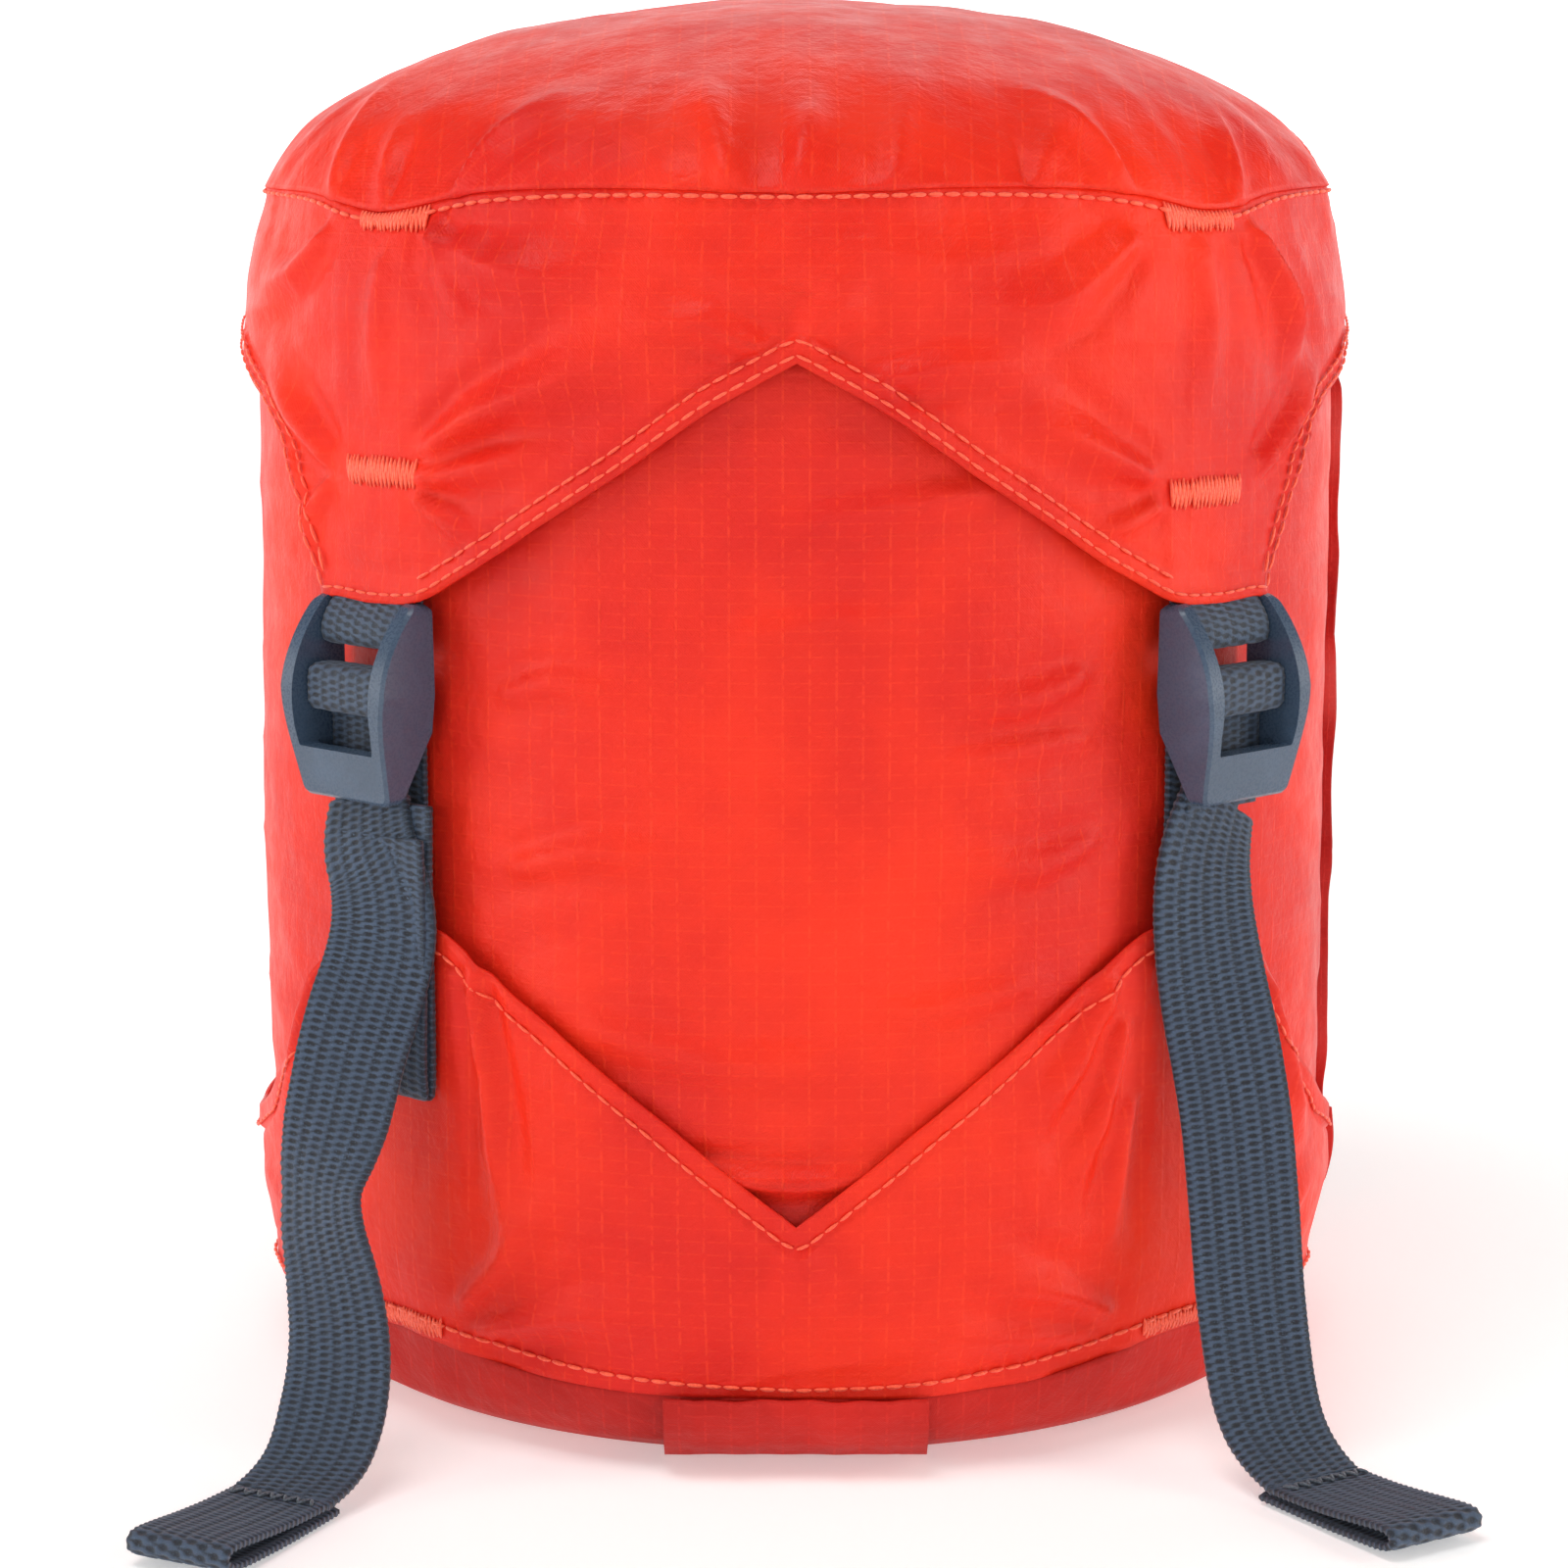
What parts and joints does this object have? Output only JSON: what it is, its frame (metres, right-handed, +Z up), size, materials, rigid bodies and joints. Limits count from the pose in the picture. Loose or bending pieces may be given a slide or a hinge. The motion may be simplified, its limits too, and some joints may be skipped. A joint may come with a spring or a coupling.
{
  "type": "compression sack",
  "caption": "Round stuff sack with a compression lid drawn down by webbing straps through ladder-lock buckles, with drawcord mouth and haul strip.",
  "frame": {"origin": "centre of the base, on the floor the sack stands on", "axes": "+Z up along the sack's axis, -Y to the front, where the haul strip's end shows between two straps"},
  "size_m": [0.197, 0.2426, 0.222],
  "materials": {
    "shell_cloth": "satin ripstop weave",
    "lining_cloth": "matt lining weave",
    "seam_tape": "matt woven tape",
    "thread": "satin thread",
    "webbing": "coarse ribbed weave",
    "buckle_plastic": "satin moulded",
    "cord": "braided",
    "lock_plastic": "satin moulded",
    "spring_wire": "bright wire"
  },
  "bodies": {
    "sack": {"sack_tube": "shell_cloth", "sack_shoulder": "shell_cloth", "side_seam": "shell_cloth", "base_panel": "lining_cloth", "base_grip": "lining_cloth", "base_seam_binding": "seam_tape", "base_skirt": "shell_cloth", "base_bartacks": "thread", "mouth_hem": "shell_cloth", "drawcord": "cord", "strap_load_front_left": "webbing", "strap_load_front_right": "webbing", "strap_load_rear_left": "webbing", "strap_load_rear_right": "webbing"},
    "lid": {"lid_top": "shell_cloth", "lid_band": "shell_cloth", "lid_seam_binding": "seam_tape", "lid_bartacks": "thread", "strap_bight_front_left": "webbing", "buckle_loop_front_left": "webbing", "strap_tail_front_left": "webbing", "strap_end_front_left": "webbing", "buckle_loop_front_right": "webbing", "strap_tail_front_right": "webbing", "strap_end_front_right": "webbing", "buckle_loop_rear_left": "webbing", "strap_tail_rear_left": "webbing", "strap_end_rear_left": "webbing", "buckle_loop_rear_right": "webbing", "strap_tail_rear_right": "webbing", "strap_end_rear_right": "webbing"},
    "buckle_front_left": {"buckle_front_left": "buckle_plastic", "strap_wrap_front_left": "webbing"},
    "buckle_front_right": {"buckle_front_right": "buckle_plastic", "strap_wrap_front_right": "webbing"},
    "buckle_rear_left": {"buckle_rear_left": "buckle_plastic", "strap_wrap_rear_left": "webbing"},
    "buckle_rear_right": {"buckle_rear_right": "buckle_plastic", "strap_wrap_rear_right": "webbing"},
    "cord_lock": {"cord_lock_barrel": "lock_plastic", "cord_lock_spring": "spring_wire"},
    "cord_lock_button": {"cord_lock_button": "lock_plastic"}
  },
  "joints": [
    {"name": "lid_lift", "type": "slide", "parent": "sack", "child": "lid", "axis": [0, 0, 1], "range_m": [0, 0.1], "deforming": ["strap_load_front_left", "strap_load_front_right", "strap_load_rear_left", "strap_load_rear_right"]},
    {"name": "buckle_front_left_tilt", "type": "hinge", "parent": "lid", "child": "buckle_front_left", "pos_m": [-0.06449, -0.06449, 0.127], "axis": [-0.7071, 0.7071, 0], "range_deg": [0, 45]},
    {"name": "buckle_front_right_tilt", "type": "hinge", "parent": "lid", "child": "buckle_front_right", "pos_m": [0.06449, -0.06449, 0.127], "axis": [-0.7071, -0.7071, 0], "range_deg": [0, 45]},
    {"name": "buckle_rear_left_tilt", "type": "hinge", "parent": "lid", "child": "buckle_rear_left", "pos_m": [-0.06449, 0.06449, 0.127], "axis": [0.7071, 0.7071, 0], "range_deg": [0, 45]},
    {"name": "buckle_rear_right_tilt", "type": "hinge", "parent": "lid", "child": "buckle_rear_right", "pos_m": [0.06449, 0.06449, 0.127], "axis": [0.7071, -0.7071, 0], "range_deg": [0, 45]},
    {"name": "cord_lock_slide", "type": "slide", "parent": "sack", "child": "cord_lock", "axis": [0, -1, 0], "range_m": [0, 0.02]},
    {"name": "cord_lock_press", "type": "slide", "parent": "cord_lock", "child": "cord_lock_button", "axis": [-1, 0, 0], "range_m": [0, 0.003], "stiffness_N_per_m": 600, "deforming": ["cord_lock_spring"]}
  ]
}
